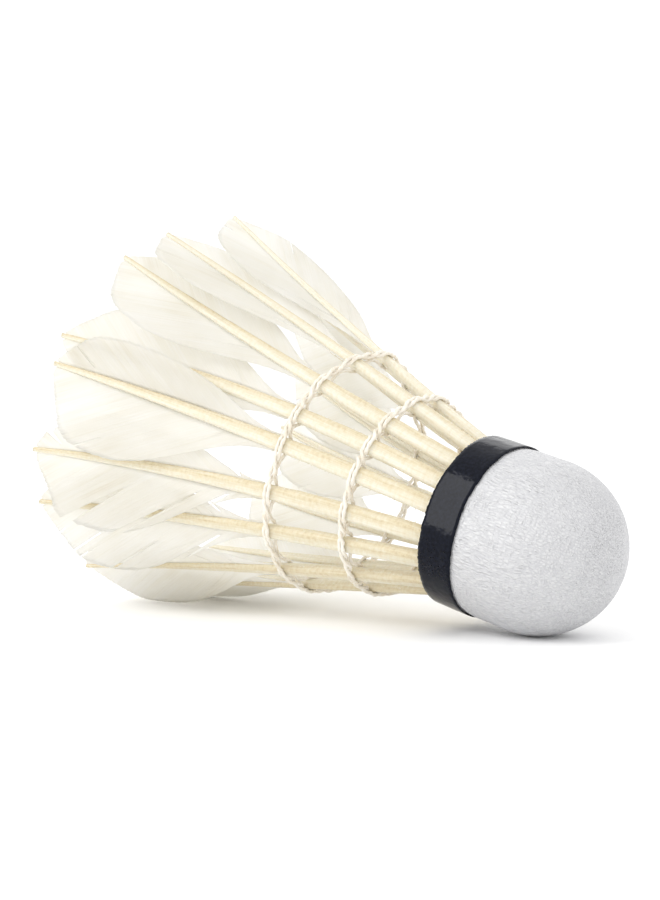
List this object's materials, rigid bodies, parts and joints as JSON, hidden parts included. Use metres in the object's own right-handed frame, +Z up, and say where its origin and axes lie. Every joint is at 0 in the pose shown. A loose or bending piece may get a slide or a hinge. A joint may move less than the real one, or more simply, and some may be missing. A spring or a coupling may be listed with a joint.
{
  "type": "badminton shuttlecock",
  "caption": "Feather shuttlecock lying on its side: leather-covered cork head with a dark band, goose-feather skirt and two rows of tied thread.",
  "frame": {"origin": "on the table under the middle of the part's box, as it lies on its side", "axes": "+Z up from the table; the nose points along +X, dipped by the angle at which the part rests; the feather skirt opens towards -X"},
  "size_m": [0.0936, 0.0622, 0.0655],
  "materials": {
    "cork": "matte agglomerated cork",
    "leather": "fine-grained matte",
    "band_tape": "glossy tape",
    "glue": "satin",
    "shaft": "satin keratin",
    "web": "soft translucent barbs",
    "thread": "glazed cotton"
  },
  "bodies": {
    "root": {"cork_nose": "cork", "cork_plug": "cork", "leather_cover": "leather", "head_band": "band_tape", "root_glue": "glue", "quill_01": "shaft", "quill_02": "shaft", "quill_03": "shaft", "quill_04": "shaft", "quill_05": "shaft", "quill_06": "shaft", "quill_07": "shaft", "quill_08": "shaft", "quill_09": "shaft", "quill_10": "shaft", "quill_11": "shaft", "quill_12": "shaft", "quill_13": "shaft", "quill_14": "shaft", "quill_15": "shaft", "quill_16": "shaft", "wide_web_01": "web", "narrow_web_01": "web", "wide_web_02": "web", "narrow_web_02": "web", "wide_web_03": "web", "narrow_web_03": "web", "wide_web_04": "web", "narrow_web_04": "web", "wide_web_05": "web", "narrow_web_05": "web", "wide_web_06": "web", "narrow_web_06": "web", "wide_web_07": "web", "narrow_web_07": "web", "wide_web_08": "web", "narrow_web_08": "web", "wide_web_09": "web", "narrow_web_09": "web", "wide_web_10": "web", "narrow_web_10": "web", "wide_web_11": "web", "narrow_web_11": "web", "wide_web_12": "web", "narrow_web_12": "web", "wide_web_13": "web", "narrow_web_13": "web", "wide_web_14": "web", "narrow_web_14": "web", "wide_web_15": "web", "narrow_web_15": "web", "wide_web_16": "web", "narrow_web_16": "web", "inner_row_front_thread": "thread", "inner_row_rear_thread": "thread", "inner_row_inside_thread": "thread", "outer_row_front_thread": "thread", "outer_row_rear_thread": "thread", "outer_row_inside_thread": "thread"}
  },
  "joints": []
}
